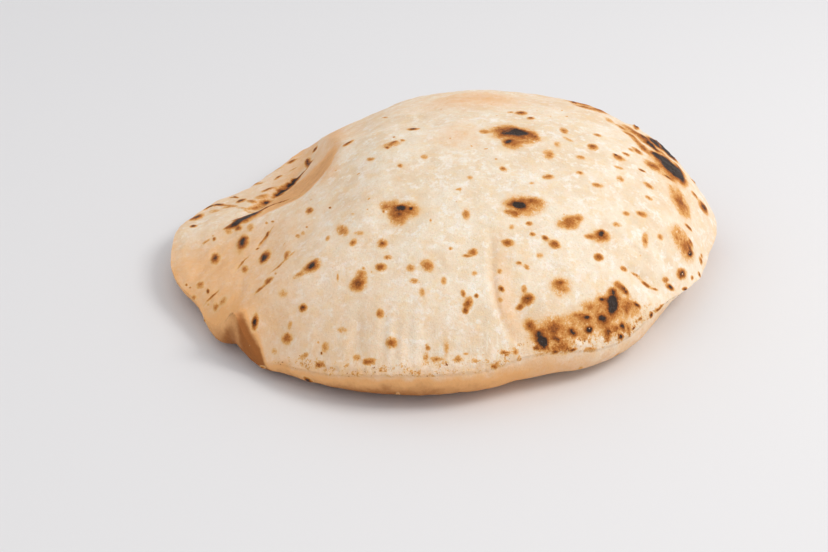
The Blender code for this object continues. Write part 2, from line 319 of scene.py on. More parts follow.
# Scorch marks on the upper skin: (x, y, length, width, heat in percent), and a turn in degrees
# if they aren't level. The sizes and the turn are as seen from the front, 29 degrees up. Heat
# 40 is golden, 70 brown and 100 black.
MARKS = (
    # The flap.
    (-90.5, -26, 4, 4.6, 95), (-92.5, -11, 1.7, 1.7, 75), (-96, -10.5, 3.2, 0.9, 40, 20),
    (-80, -20.5, 4.6, 6, 110), (-80.5, -24, 4.6, 6.5, 50), (-77.7, -11.5, 3, 3, 40), (-87, -8, 3, 2, 35),
    (-70.2, -22.5, 1.1, 2.6, 75, -20), (-73.4, -30.4, 1.9, 1.1, 80, 40), (-69.5, -40.5, 5.6, 3.8, 115, 62),
    (-77, -42.5, 2.9, 2.6, 60), (-78.3, -36.5, 4, 0.9, 55, 52), (-66.3, -60, 4, 2.3, 70, 35),
    (-69.2, -62.5, 4, 1.1, 50, 40), (-94.8, -41, 3.4, 2.8, 55, 40), (-91, -47, 1.7, 2, 80),
    (-88.2, -50.3, 4.6, 1, 60, 45), (-96.6, -46.3, 2.8, 2.2, 50), (-84, -57.3, 4, 3.4, 45, 30),
    (-87, -57.6, 2.4, 3.6, 50), (-100.8, -37.5, 1.2, 1.2, 60), (-99, -40, 0.9, 0.9, 50),
    (-91.5, -61, 1.6, 1.4, 65), (-68.5, -15, 1.4, 0.8, 55), (-71, -13.7, 1.2, 0.9, 42),
    (-64, -57.5, 1, 0.8, 40),
    # Thin lines along its stretch cracks.
    (-71, -24.5, 11, 0.6, 62, 54), (-78.5, -37, 8, 0.6, 50, 52), (-90, -51.5, 7, 0.6, 50, 48),
    (-96, -11, 7, 0.5, 42, 38), (-62, -52, 12, 0.7, 42, 42), (-68.5, -62, 8, 0.7, 45, 40),
    # The edge of the dome, and the dome above it.
    (-53.2, -23.2, 3.2, 3, 60), (-44.8, -30, 1.1, 0.9, 80), (-56.8, -38.5, 1.9, 1.5, 50),
    (-54.8, -38.5, 1.5, 1.5, 42), (-60.3, -48.6, 3.6, 2.4, 58, 60), (-50, -65.5, 7.4, 4.2, 110, 35),
    (-54.6, -66.8, 4.6, 1.8, 42, 25), (-53.5, -35.3, 1, 0.8, 42), (-39.3, -51.8, 4.6, 3.8, 55, -35),
    (-44.6, -52.5, 1.5, 2.2, 32, -30), (-35, -61, 3, 2.2, 50, 50), (-33, -57, 3.6, 1.5, 32),
    (-24.5, -65, 4, 3.4, 50, 30), (-24.4, -65, 1.8, 1.4, 75, 10), (-22.2, -72, 3, 1.7, 42),
    (-24.8, -75.4, 4, 2.9, 85), (-32.8, -79.8, 6, 4.8, 88, 20), (-31.8, -76.8, 4, 4.4, 50, -30),
    (-14.1, -78.4, 3, 2.6, 40), (-8.3, -78.3, 4.8, 4, 55, -35), (-13, -83.4, 3.2, 1.8, 40, -5),
    (-10.2, -87.5, 1.9, 3, 34, 10), (-2.6, -84, 1.8, 2.8, 36), (-24.8, -92, 2.6, 3.4, 58),
    (-6.9, -58, 0.8, 1.4, 40), (-24, -49, 1, 1, 70), (-40.2, -74.5, 0.8, 2.6, 35), (-31, -74, 1.2, 1, 33),
    (-35.5, -44.5, 1.4, 0.6, 32),
    # The large mark on the left of the dome.
    (-19, -48.5, 10.5, 5.4, 62, -12), (-17.5, -48.8, 6, 2.4, 105, -4), (-14, -50.2, 2.2, 1.9, 115),
    (-19, -52.8, 6.4, 6.6, 60), (-14.5, -51, 7, 5.4, 45), (-23.5, -46, 4, 3, 42, -30),
    # The upper left.
    (-13, 12.5, 4.9, 1.3, 95, 3), (-21.5, -1.6, 7.6, 2.6, 48, 14), (-23.3, -3.6, 1.8, 1.2, 80),
    (-20.5, 0, 2.8, 1.3, 75, 15), (-17.3, 0.6, 2, 0.9, 60, -10), (-20.7, 5.2, 1.2, 0.6, 60),
    (-29.8, -7.8, 3, 1.5, 45, 5), (-18, -21.5, 2, 1.7, 55), (-8.8, -17.3, 2.6, 2, 32),
    (-39.5, 19.5, 5.2, 1.2, 85, 32), (-25, 42, 2.6, 0.8, 42, -5),
    # The two large marks on the top and the marks round them.
    (26.5, -1, 17.5, 7.4, 50, -7), (26, 0, 13.5, 5.6, 90, -7), (29, 0, 10.5, 3.4, 170, -9),
    (23.7, -8.6, 4.4, 3, 110, 20), (26, -9.5, 8, 5, 60), (34.3, -3.5, 4, 4.6, 70, -20),
    (31, -8.3, 5, 2, 50), (15, 1.4, 4, 1.6, 40), (30.8, 23.5, 4.8, 2.3, 80), (26.6, 24.5, 2.6, 1, 42),
    (34.3, 17, 3.2, 1.7, 66, 8), (38.7, -17, 4.3, 3.8, 45), (46.8, 6.5, 3.4, 2.6, 52, -25),
    (20.7, -29.8, 2.8, 1.8, 48, -20), (37.4, -33, 4.2, 2.1, 55), (51.3, -15.5, 3.4, 1.6, 50, -10),
    (50, -27, 2.8, 1.4, 50, -5), (43, -7.5, 2.5, 2.6, 30), (47.5, -2, 4, 1.2, 34, -30),
    (8, -35, 2, 1.2, 30), (31, -38, 2, 1, 28), (26.8, -51, 13.5, 7, 46, -5), (25, -50.8, 8, 3.8, 160, -3),
    (30.6, -48.2, 9.5, 3, 66, -10), (22.8, -55, 5.8, 2.8, 82, -10), (43.6, -56, 9, 4.6, 50, 3),
    (44, -57, 5.4, 3.2, 56), (47.2, -53, 3, 2.6, 48, 30),
    # The middle of the front.
    (6, -56, 2.8, 3.6, 50), (0, -72, 1.6, 1.2, 45), (7.8, -73.5, 3.6, 2.6, 62, 10),
    (5.6, -75, 3, 1.1, 45, -5), (8.2, -81.4, 1.9, 1.7, 42), (20.4, -68.4, 4.5, 2.8, 72),
    (22.2, -61.4, 1.8, 1.8, 38), (28.7, -59, 2.6, 1.5, 50), (29.5, -63.8, 2.3, 1.6, 60, -10),
    (34.2, -65, 3, 1.9, 60, -35), (37.4, -67, 4.4, 3, 85, -20), (31.8, -72, 2.4, 1.8, 38),
    (24.2, -76.2, 2.7, 1.4, 50, -8), (26.8, -77, 2.5, 1.6, 50, -35), (17.2, -79, 2.2, 1.8, 36),
    (17.6, -84.8, 2.5, 2.2, 90, -30), (17, -88, 2, 1.7, 34), (38.8, -81.8, 7, 6.2, 50),
    (38.4, -80.7, 4.4, 2, 66), (26.6, -87.5, 5, 4, 86, 20), (24, -89.7, 3.8, 2.3, 80, 35),
    (25.6, -84.6, 2, 2.6, 45), (5.7, -91.2, 3.2, 4.6, 82, -15), (4.8, -93.3, 2.4, 2.4, 85),
    (4.1, -88.3, 1.7, 2.6, 55, 15), (8.7, -88.8, 1.6, 1.6, 75),
    # The front left.
    (-70.6, -76, 2.7, 6.2, 115, -5), (-52.7, -79.8, 3.4, 2.8, 88, 25), (-60.2, -71.3, 3.2, 2.8, 30),
    (-58.2, -86, 4, 4.2, 68), (-57.3, -82.8, 1.6, 3.4, 40, -8), (-63, -86.4, 2, 2.2, 36),
    (-51.5, -94, 3.8, 1.6, 46, 28), (-44, -95, 2.6, 3.6, 44, -12), (-46, -98.5, 4, 2.2, 46, 25),
    (-45.3, -96, 0.9, 1.1, 85), (-38.2, -92.7, 3.6, 2.2, 32), (-33, -101.4, 2.6, 2.2, 42, -20),
    (-28.8, -103.7, 4.4, 2.2, 66, 8), (-20.9, -100.8, 4, 3.8, 78), (-8.4, -102.8, 2, 2.4, 55),
    (-9, -105, 1.8, 3.4, 40), (-5.4, -105.4, 4, 1.6, 44), (-2, -102.8, 1.7, 5, 30),
    (1.8, -105, 2.4, 2.6, 34), (4.7, -103.8, 1.6, 0.8, 36), (17.9, -101.8, 2.6, 1.7, 66),
    (14, -105.3, 2.4, 1.6, 60, -30), (22, -101, 2, 1.6, 42),
    # The scorched patch at the front right.
    (33, -95, 14, 9, 36, -15), (46, -88.5, 18, 6.5, 30, -8), (57, -80.5, 15, 12, 36, 10),
    (64, -76, 9, 6, 36, -35), (27.5, -93.8, 5, 4.4, 70, -20), (30, -95.4, 5, 4.6, 90, -45),
    (31.8, -96.7, 5.6, 5, 190, -55), (29.3, -98.6, 3, 1.5, 66), (35.6, -92.6, 6.4, 8, 66),
    (36.6, -94.8, 4.6, 2.6, 95, -20), (36, -98, 3, 1.3, 66), (39, -96, 8, 4.5, 50),
    (42, -91.5, 7, 5.2, 50, -15), (42, -91.6, 4.8, 2.7, 105, -28), (42.6, -95.2, 3.2, 1.2, 95, 15),
    (47, -87, 9, 3.4, 74, -10), (48.6, -88.8, 3.9, 3.3, 120), (47.9, -86.6, 3, 1.5, 105),
    (53, -84.7, 9.5, 5.4, 64, -10), (53.4, -84.3, 4.4, 3, 120, 10), (57, -79.8, 11, 9, 66, 10),
    (57.8, -78.4, 5.4, 7, 200, -15), (56.2, -81.3, 3.8, 4, 120), (53.3, -80.2, 3.2, 2, 105),
    (57.8, -76, 3.6, 3.4, 98), (62.4, -73, 5.4, 1.9, 110, -48), (60.6, -73.3, 5, 3, 60, -45),
    (67, -74, 4.2, 1.6, 100, -32), (63.3, -76, 5.4, 2.8, 74, -10), (60.9, -81.8, 2.6, 3.6, 110, 15),
    (60.2, -84.2, 2.3, 2.4, 110), (58.6, -83.6, 4, 3.4, 70), (63.6, -80.8, 2.5, 3.8, 56),
    (55.6, -86, 2.8, 5, 64), (62.8, -77.8, 2, 4.4, 66), (49.3, -92.2, 4, 1.5, 55), (46.6, -91, 3, 2.6, 46),
    (49, -84, 7, 4, 42, -10), (68, -76.5, 2.2, 1, 50, 40),
    # The right.
    (55, -58.5, 7.2, 4.6, 74, -3), (55.2, -57.2, 3.4, 3, 115, 60), (51, -60, 4.4, 1.9, 52),
    (53.3, -67.4, 3.6, 2.8, 84, -10), (72.5, -39, 4.6, 2.5, 58, -15), (66, -42.7, 3, 1.6, 40, -15),
    (61.6, -50.5, 3.2, 1.8, 40, -15), (72.6, -50.3, 2.8, 5.4, 52, -8), (79.5, -43.8, 3.1, 2.5, 54),
    (89.3, -36.6, 14, 6.6, 56, -60), (92.3, -34.2, 7.5, 1.6, 80, -58), (92.5, -36.2, 3.4, 3.2, 115),
    (93.4, -31.5, 4, 1.5, 85, -60), (93.2, -25.6, 4.2, 1.3, 95, -40), (98.4, -30, 3.8, 1.2, 100, -72),
    (99, -27.5, 2.2, 1, 50, -70), (97, -36, 2.4, 1.2, 85, -70), (88, -47.5, 4.8, 4.2, 120, 20),
    (82.3, -56.2, 4.4, 2, 110, -30), (80.4, -56.3, 3, 2.2, 60, -20), (93.3, -42, 1.7, 2, 60),
    (88.9, -50.3, 2.6, 1.4, 100, 10), (63, -66.3, 3, 1.8, 55, -25), (68.3, -65, 5, 0.9, 50, -32),
    (72.3, -64.4, 4.6, 1.3, 85, -32), (75.6, -62.8, 3, 0.9, 60, -15), (72.6, -73, 1.7, 2.4, 105),
    (76.6, -68.3, 4.6, 1.3, 95, 25), (65.6, -79.5, 2.2, 1.1, 80, 40),
    # The upper right, up to the charred edge.
    (60.5, 7.5, 3.4, 1.5, 55, -15), (57, -5, 4.2, 2.8, 78, -10), (56.2, -32.3, 4.2, 1.9, 55, -8),
    (67.3, -7.5, 5.2, 2.4, 70, -18), (66, -6.6, 2.4, 1, 95, -25), (70.8, -2.5, 3.2, 1.4, 64, -20),
    (66.3, -15.5, 3.6, 1.4, 42, -15), (65.8, -23.7, 3, 2.6, 42), (76.2, -10.5, 3.3, 1.1, 95, -25),
    (77.3, -20.3, 4.3, 1.6, 60, -30), (76.6, -28, 3.1, 1.3, 54, -25), (90.6, -17.2, 13, 6.2, 64, -60),
    (99, -3, 4.2, 1.4, 55, -45), (103, -3.5, 7, 3.2, 110, -50), (102.2, 17.2, 3.4, 1.5, 90, -45),
    (81.5, -3.5, 8, 3.2, 62, -35), (84.3, 6.5, 8, 3.2, 160, -36), (89.8, 2.8, 15.5, 7.5, 300, -43),
    (88.5, 1, 17, 9.5, 52, -42), (87, -6.7, 5, 1, 95, -30), (93.6, -2.2, 4, 3, 80, -40),
    (86, 23, 8.5, 3, 160, -40), (92.5, 25.5, 9, 3.2, 200, -35), (91, 33, 11, 4.4, 200, -38),
    (94.6, 22.4, 5, 2, 100, -45), (80.4, 41, 3.2, 2, 120, -30), (78.4, 25.8, 13, 3.4, 72, -38),
    (82, 20, 11, 3.4, 78, -40), (78, 12, 9, 2, 74, -48), (75.5, 18.5, 8, 1.8, 64, -40),
    (84.5, 16, 10, 2, 95, -42), (79.5, 7.5, 7, 1.6, 70, -46), (72.5, 26, 6, 1.4, 50, -36),
    (87.5, 20, 9, 1.6, 100, -40), (76, 4, 5, 1.6, 60, -40), (73.5, 2.5, 2.7, 1.1, 36, -30),
    (68.2, 31.7, 3.6, 2, 34, -30), (84.8, 14.5, 6, 1.5, 50, -45), (55.3, 52, 3, 1.4, 95, -15),
    (60.5, 43.5, 12.5, 1.9, 74, -17), (58.5, 54, 13, 2.2, 66, -17), (66, 47, 9, 1.8, 60, -20),
    (94, 9, 5, 4, 60, -45),
    # The folded edge at the back left.
    (-104, 20.4, 6.4, 2.6, 115, 15), (-103.5, 8, 3.2, 1.3, 100, 5), (-85.8, 29, 4.4, 2.4, 115, 12),
    (-90, 38.5, 4.4, 0.9, 100, -5), (-74.5, 23, 4, 2.4, 115, -8), (-75, 23.5, 8, 3.8, 50, 5),
    (-75, 36.7, 6.4, 1.6, 72, 18), (-78.2, 17, 8, 2.2, 42, 8), (-80.9, 23, 5, 1.5, 45, -10),
    (-77, 27, 5.5, 2, 45, 12), (-81.9, 55, 6.4, 1, 50, 12), (-72.3, 54.1, 4, 1, 82, 30),
    (-67.5, 76, 5, 1.2, 82, 30), (-56.6, 68, 3.8, 1.4, 90, 50), (-83, -8, 3.4, 2.6, 85),
    (-97, 24, 5, 1.4, 34, 5), (-91, 24, 5, 1, 40, 5), (-66, 60, 4, 0.9, 40, 30),
    # Pale middles of burst blisters, which take heat away.
    (48.6, -88.6, 1.1, 0.9, -130), (92.5, -36, 1.2, 0.9, -120), (88, -47.5, 1.1, 1, -120),
)

# Marks on the lower skin under the front of the seam: (x, height, and the rest as above).
LIP_MARKS = (
    (-50.5, 5.5, 4, 1.7, 105, -32), (-31.5, 2.2, 2, 0.9, 80, -20), (-68, 4, 2.6, 1.2, 60),
    (-19, 3.5, 1.2, 2, 40), (46, 6, 2, 0.9, 40, 10), (60, 6.5, 3, 0.9, 42, 25),
)

# Which way the sizes of the marks are seen from.
VIEW_ELEVATION = math.radians(29.14)
SEEN_FROM = np.array((0.0, -math.cos(VIEW_ELEVATION), math.sin(VIEW_ELEVATION)))
SEEN_UP = np.array((0.0, math.sin(VIEW_ELEVATION), math.cos(VIEW_ELEVATION)))
FLATTEST_VIEW = 0.25

# A mark shows over this many times its size, where its heat has faded to FAINTEST.
MARK_SPREAD = 1.22
FAINTEST = 0.12

# Marks that have room round them are drawn exactly, in this many groups. Points beyond the
# reach of them all have the coordinate NOWHERE.
GROUPS = 5
REACH_SHARE = 0.75 * MARK_SPREAD
SURE_REACH = 2
EXTRA_REACH = 2
NOWHERE = 9

# Marks on the hidden back, behind this y, and on the underside: seed, how many, their sizes.
HIDDEN_SEED = 11
BACK_MARKS = 84
BACK_FROM = 44
UNDER_MARKS = 60
HIDDEN_SIZES = (1.5, 8)
TURNED_AWAY = -0.12

# Where the front of the rim, with its seam that shows, begins and ends, in degrees.
FRONT_LEFT = (226, 240)
FRONT_RIGHT = (328, 312)

# Unevenness of the whole skin: (size, height, shift of the noise).
UNEVENNESS = ((17, 0.5, 0), (7, 0.3, 3), (3.4, 0.17, 4))

# Heights of the other relief. The pleats are given by x and the distance below the seam.
GROOVE_FILLING = 0.65
BLISTER_HEIGHT = 0.28
BLISTER_UNEVENNESS = 0.22
CHAR_UNEVENNESS = 0.35
CRUMB_HEIGHT = 0.15
CRUMB_UNEVENNESS = 0.5
PLEATS = (-17, -11, 26, 9, 0.42)
CHARRED_EDGE = (88, 24, 14, 22, 0.8)
RAGGED_EDGE_HEIGHT = 0.6
WRINKLE_HEIGHT = 0.3

# How tan the skin is between its marks, by place, with shade and a highlight painted into it:
# 0 is pale, 1 tan and 2 brown.
# Painted shade on the flank behind the crest and on the flap behind the valley, which the dome shades.
FLANK_SHADE = 1.28
CROWN_TAN = ((12, 46, 24, 16, 0.74), (3, -1, 9, 12, 0.44))
# Painted warm shade on the left, on the flap and along the low front, which are turned from the key light.
LEFT_WARM_SHADE = 0.44
FLAP_WARM_SHADE = 0.36
FLAP_SHADE_SPOT = (-83, -66, 8, 9, 0.28)
LOW_FRONT_SHADE = 0.14
BACK_TAN = 0.19
RIGHT_TAN = 0.1
# A band of painted shade on the dome's left shoulder, beside the flank.
SHOULDER_SHADE = 0.48
# Painted shade in the hollow of the groove, and a painted highlight on its crest.
GROOVE_SHADE = 0.09
CREST_HIGHLIGHT = 0.08
# Painted shade in the corner under the sharp end of the dome over the flap.
CORNER_DEGREES = 231.3
CORNER_SHADE = 1.6
SEAM_TAN = 0.15
LOWER_TAN = 1.6

Mark = namedtuple("Mark", "place outward length width heat turn", defaults=(0,))


def sector_angles():
    """The angles of the sectors, closer together at the front."""
    even = np.arange(SECTORS) * 2.0 * np.pi / SECTORS
    return even - FRONT_CROWDING * np.cos(even)


def ring_shares():
    """How far out each ring is: its share of the way from the middle to the rim."""
    top = np.sin(np.arange(TOP_RINGS + 1) / TOP_RINGS * np.pi / 2.0)
    under = RESTING_SHARE * (1.0 - np.arange(1, UNDER_RINGS + 1) / UNDER_RINGS)
    return np.concatenate((top, np.ones(BELLY_RINGS), under))


def top_grid(angle):
    """Rings of the upper skin from the crown to the rim."""
    radius = ring_shares()[:TOP_RINGS + 1, None] * around(angle, RIM)
    x = radius * np.cos(angle)
    y = radius * np.sin(angle)
    return np.stack((x, y, top_height(x, y)), axis=-1)


def belly_grid(angle):
    """Rings of the lower skin, turning from the rim to the resting spot."""
    turn = (np.arange(1, BELLY_RINGS + 1) / BELLY_RINGS)[:, None] * np.pi / 2.0
    fullness = 2.0 / around(angle, BELLY)
    inward = 1.0 - np.abs(np.cos(turn)) ** fullness
    height = 1.0 - np.sin(turn) ** fullness
    radius = around(angle, RIM) * (1.0 - (1.0 - RESTING_SHARE) * inward)
    radius = radius + around(angle, BELLY, 2) * (1.0 - height) * (1.0 - inward)
    height = around(angle, RIM, 2) * height
    return np.stack((radius * np.cos(angle), radius * np.sin(angle), height), axis=-1)


def under_grid(angle):
    """Rings of the flat resting spot, from its edge to the middle."""
    radius = ring_shares()[-UNDER_RINGS:, None] * around(angle, RIM)
    return np.stack((radius * np.cos(angle), radius * np.sin(angle), 0.0 * radius), axis=-1)


def skin_normals(grid):
    """Outward directions of a grid of rings that runs from the crown to the underside."""
    along_ring = 0.5 * (np.roll(grid, -1, axis=1) - np.roll(grid, 1, axis=1))
    normals = np.cross(np.gradient(grid, axis=0), along_ring)
    normals /= np.linalg.norm(normals, axis=-1, keepdims=True) + 1e-12
    normals[0] = (0.0, 0.0, 1.0)
    normals[-1] = (0.0, 0.0, -1.0)
    return normals


def relief_normals(normals, seam):
    """The outward directions, levelled near the sharp rim so that the relief can't fold there."""
    levelled = normals + bell(seam, 0, 1.6)[..., None] * (normals[TOP_RINGS] - normals)
    return levelled / np.linalg.norm(levelled, axis=-1, keepdims=True)


def uneven(points, size, shift=0):
    """Smooth random values from about -1 to 1, uneven at this size in millimetres."""
    flat = points.reshape(-1, 3) / size + shift
    values = np.fromiter((noise.noise(row) for row in flat.tolist()), float, len(flat))
    return values.reshape(points.shape[:-1])


def seen_marks(places, normals):
    """The marks placed one by one, on the upper skin and on the lip under the seam."""
    places = places.reshape(-1, 3)
    normals = normals.reshape(-1, 3)
    upper = np.arange(len(places)) < (TOP_RINGS + 1) * SECTORS
    lip = (places[:, 1] <= 0.0) & ~upper
    marks = []
    for x, y, length, width, heat, *turn in MARKS:
        nearest = np.argmin(np.where(upper, np.hypot(places[:, 0] - x, places[:, 1] - y), np.inf))
        plan = np.array([[x + MIDDLE[0]], [y + MIDDLE[1]]])
        place = np.array((x, y, top_height(*plan)[0]))
        marks.append(Mark(place, normals[nearest], length, width, heat / 100.0, *turn))
    for x, height, length, width, heat, *turn in LIP_MARKS:
        nearest = np.argmin(np.where(lip, np.hypot(places[:, 0] - x, places[:, 2] - height), np.inf))
        marks.append(Mark(places[nearest], normals[nearest], length, width, heat / 100.0, *turn))
    return marks


def hidden_marks(places, normals):
    """Round marks, which have no turn, spread over the back and the underside."""
    draws = np.random.RandomState(HIDDEN_SEED)
    outer = TOP_RINGS + BELLY_RINGS
    turned_away = normals[:outer] @ SEEN_FROM < TURNED_AWAY
    back = np.argwhere(turned_away & (places[:outer, :, 1] > BACK_FROM))
    under = np.argwhere(places[:, :, 2] < 0.5)
    marks = []
    for found, count in ((back, BACK_MARKS), (under, UNDER_MARKS)):
        spots = places[found[:, 0], found[:, 1]]
        weight = np.hypot(spots[:, 0], spots[:, 1])
        for ring, sector in found[draws.choice(len(found), count, p=weight / weight.sum())]:
            # Most are small, and the larger ones are browner.
            share = draws.rand() ** 2.5
            size = HIDDEN_SIZES[0] + share * (HIDDEN_SIZES[1] - HIDDEN_SIZES[0])
            heat = 0.35 + 0.5 * draws.rand() + 0.35 * share
            marks.append(Mark(places[ring, sector], normals[ring, sector], size, size, heat, None))
    return marks


def mark_coordinates(points, mark):
    """Places in a mark as shares of its size, and how far from its middle they are."""
    offset = points - mark.place
    away = np.linalg.norm(offset, axis=-1)
    edge = math.sqrt(math.log(abs(mark.heat) / FAINTEST)) * 2.0 / MARK_SPREAD
    if mark.turn is None:
        return away * edge / mark.length, 0.0 * away, away
    cosine, sine = math.cos(math.radians(mark.turn)), math.sin(math.radians(mark.turn))
    right, up = offset[..., 0], offset @ SEEN_UP
    along = (cosine * right + sine * up) * edge / mark.length
    return along, (cosine * up - sine * right) * edge / mark.width, away


def mark_reach(mark):
    """How far from its middle a mark could show, in millimetres."""
    if mark.turn is None:
        return REACH_SHARE * mark.length + SURE_REACH
    squash = max(float(mark.outward @ SEEN_FROM), FLATTEST_VIEW)
    turned = abs(math.sin(math.radians(mark.turn)))
    upright = max(mark.length * turned, mark.width)
    return REACH_SHARE * max(mark.length, upright / squash) + SURE_REACH


def grouped(marks):
    """Share the marks into groups of marks well apart; the last group has all the others."""
    groups = [[] for _ in range(GROUPS + 1)]
    for mark in sorted(marks, key=mark_reach):
        for group in groups[:GROUPS]:
            room = mark_reach(mark) + EXTRA_REACH
            if all(np.linalg.norm(mark.place - other.place) > room + mark_reach(other) + EXTRA_REACH
                   for other in group):
                group.append(mark)
                break
        else:
            groups[GROUPS].append(mark)
    return groups


def mark_heat(points, marks):
    """Heat of the marks at the points, added up as squares where they overlap."""
    squares = np.zeros(points.shape[:-1])
    for mark in marks:
        along, across, away = mark_coordinates(points, mark)
        here = mark.heat * np.exp(-along ** 2 - across ** 2)
        here = here * (1.0 - smooth(1, 1.4, away / mark_reach(mark)))
        squares += here * abs(here)
    return np.sqrt(np.maximum(squares, 0.0))


def drawn_group(points, marks):
    """For each point its coordinates in the mark that it is near, and the heat of that mark."""
    drawn = np.zeros(points.shape) + (NOWHERE, NOWHERE, 0.0)
    for mark in marks:
        along, across, away = mark_coordinates(points, mark)
        heat = np.where(away < mark_reach(mark), mark.heat, 0.0)
        near = away < mark_reach(mark) + EXTRA_REACH
        drawn[near] = np.stack((along, across, heat), axis=-1)[near]
    return drawn


def line_heat(places, ragged):
    """Heat of the char along the folds."""
    heat = np.zeros(places.shape[:-1])
    for line in CHAR_LINES:
        away, values = from_route(places[..., 0], places[..., 1], line)
        share = np.abs(away) / (values[..., 1] * (1.0 + 0.5 * ragged))
        heat = np.hypot(heat, values[..., 0] * (1.0 + 0.35 * ragged) * np.exp(-share ** 2))
    return heat / 100.0


def below_seam(grid):
    """Distance of each point from the seam along the skin: above it, it is negative."""
    steps = np.linalg.norm(np.diff(grid, axis=0), axis=-1)
    run = np.vstack((0.0 * steps[0], np.cumsum(steps, axis=0)))
    return run - run[TOP_RINGS]


def front_share(angle):
    """How much a sector belongs to the front, where the seam shows."""
    degrees = np.degrees(angle) % 360.0
    return smooth(*FRONT_LEFT, degrees) * smooth(*FRONT_RIGHT, degrees)


def pleats(places, seam):
    """Height of the uneven pleats gathered at the front seam."""
    drawn_out = places * (1, 0.3, 0.3)
    wave = np.sin(places[..., 0] + 5.0 * uneven(drawn_out, 11, 17))
    strength = np.clip(0.7 + 1.2 * uneven(drawn_out, 9, 19), 0.1, 1.4)
    return wave * strength * mound(places[..., 0], seam, PLEATS)


def wrinkles(x, y, places):
    """Height of the fine wrinkles that run over the flap."""
    flap = smooth(-60, -80, x) * smooth(-75, -55, y) * smooth(8, -8, y)
    wave = np.sin((0.91 * x - 0.41 * y) * 0.95 + 4.0 * uneven(places, 10, 27))
    return WRINKLE_HEIGHT * flap * wave * np.maximum(uneven(places, 9, 29) + 0.2, 0.0)


def skin_relief(places, seam, heat):
    """How far the fine skin stands out from the plain shape, in millimetres."""
    x, y, z = places[..., 0], places[..., 1], places[..., 2]
    inside = smooth(0.3, 6, -seam)
    front = front_share(sector_angles())
    relief = sum(height * uneven(places, size, shift) for size, height, shift in UNEVENNESS)
    relief += sum(mound(x, y, dent) for dent in DENTS) * inside
    relief -= sum(fold(x, y, crack, CRACK_WIDTHS) for crack in CRACKS) * inside
    relief -= sum(fold(x, y, crease, CREASE_WIDTHS) for crease in CREASES) * inside
    from_groove, depth = from_route(x + MIDDLE[0], y + MIDDLE[1], GROOVE)
    relief += GROOVE_FILLING * depth[..., 0] * bell(from_groove, 1.6, 3.2) * inside
    blister = smooth(0.2, 0.7, heat) * (1.0 - 0.6 * smooth(0.9, 1.2, heat))
    relief += blister * (BLISTER_HEIGHT + BLISTER_UNEVENNESS * uneven(places, 2.2, 9))
    relief += CHAR_UNEVENNESS * smooth(0.6, 1.1, heat) * uneven(places, 2.6, 5)
    crumbs = CRUMB_HEIGHT + CRUMB_UNEVENNESS * uneven(places, 2.2, 11)
    relief += bell(seam, -1, 2.2) * front * crumbs
    relief += pleats(places, seam) * inside * front
    relief += mound(x, y, CHARRED_EDGE) * inside * uneven(places, 5, 21)
    ragged_edge = smooth(-14, -1, seam) * smooth(4, 0, seam)
    ragged_edge = ragged_edge * smooth(-5, 25, y) * smooth(-30, -60, x)
    relief += RAGGED_EDGE_HEIGHT * ragged_edge * uneven(places, 5, 25)
    relief += wrinkles(x, y, places) * inside
    return relief * smooth(0.3, 2.5, z)


def flank_painted_shade(x, y):
    """Painted shade on the flank behind the crest, and on the flap behind the valley, which the dome
    shades.
    """
    front, back = left_slopes(x, y)
    away, _ = from_route(x, y, VALLEY)
    flank = smooth(0, 1.5, front - back) * smooth(-41, -48, x)
    flank = flank * smooth(-1, 3, away) * smooth(-90, -66, x)
    flank = FLANK_SHADE * flank * (1.0 - 0.6 * smooth(22, 42, y))
    back_flap = smooth(2, -3, away) * smooth(-2, 12, y) * smooth(-40, -60, x)
    return np.maximum(flank, back_flap * (0.1 + 0.6 * smooth(-92, -62, x)))


def groove_shade_and_highlight(x, y):
    """Painted shade in the hollow of the groove, and a painted highlight on the crest along its left."""
    from_groove, depth = from_route(x, y, GROOVE)
    hollow = smooth(-2.2, 0.2, from_groove) * smooth(9, 1.5, from_groove)
    hollow = GROOVE_SHADE * (1.0 + smooth(-70, -90, y)) * hollow
    return depth[..., 0] * (hollow - CREST_HIGHLIGHT * bell(from_groove, -6, 3))


def upper_tone(x, y):
    """Tan of the upper skin, with shade and a highlight painted into it by place."""
    # Painted warm shade on the left, on the flap and along the low front.
    tone = LEFT_WARM_SHADE * smooth(5, -100, x) * (1.0 - 0.6 * smooth(-30, 5, y))
    tone += FLAP_WARM_SHADE * smooth(-48, -88, x) * smooth(8, -30, y) * smooth(-110, -70, y)
    tone += LOW_FRONT_SHADE * smooth(-50, -106, y) * smooth(70, 20, x) + mound(x, y, FLAP_SHADE_SPOT)
    tone += BACK_TAN * smooth(0, 55, y)
    tone += RIGHT_TAN * smooth(72, 100, x) * smooth(-45, -25, y)
    # A band of painted shade on the dome's left shoulder.
    tone += SHOULDER_SHADE * bell(x, -48, 4.8) * smooth(-12, 0, y)
    # Painted shade in the groove's hollow and a painted highlight on its crest.
    tone += groove_shade_and_highlight(x, y)
    crown = sum(mound(x, y, spot) for spot in CROWN_TAN)
    # The painted shade of the flank and of the flap behind it.
    return np.maximum(tone, np.maximum(crown, flank_painted_shade(x, y)))


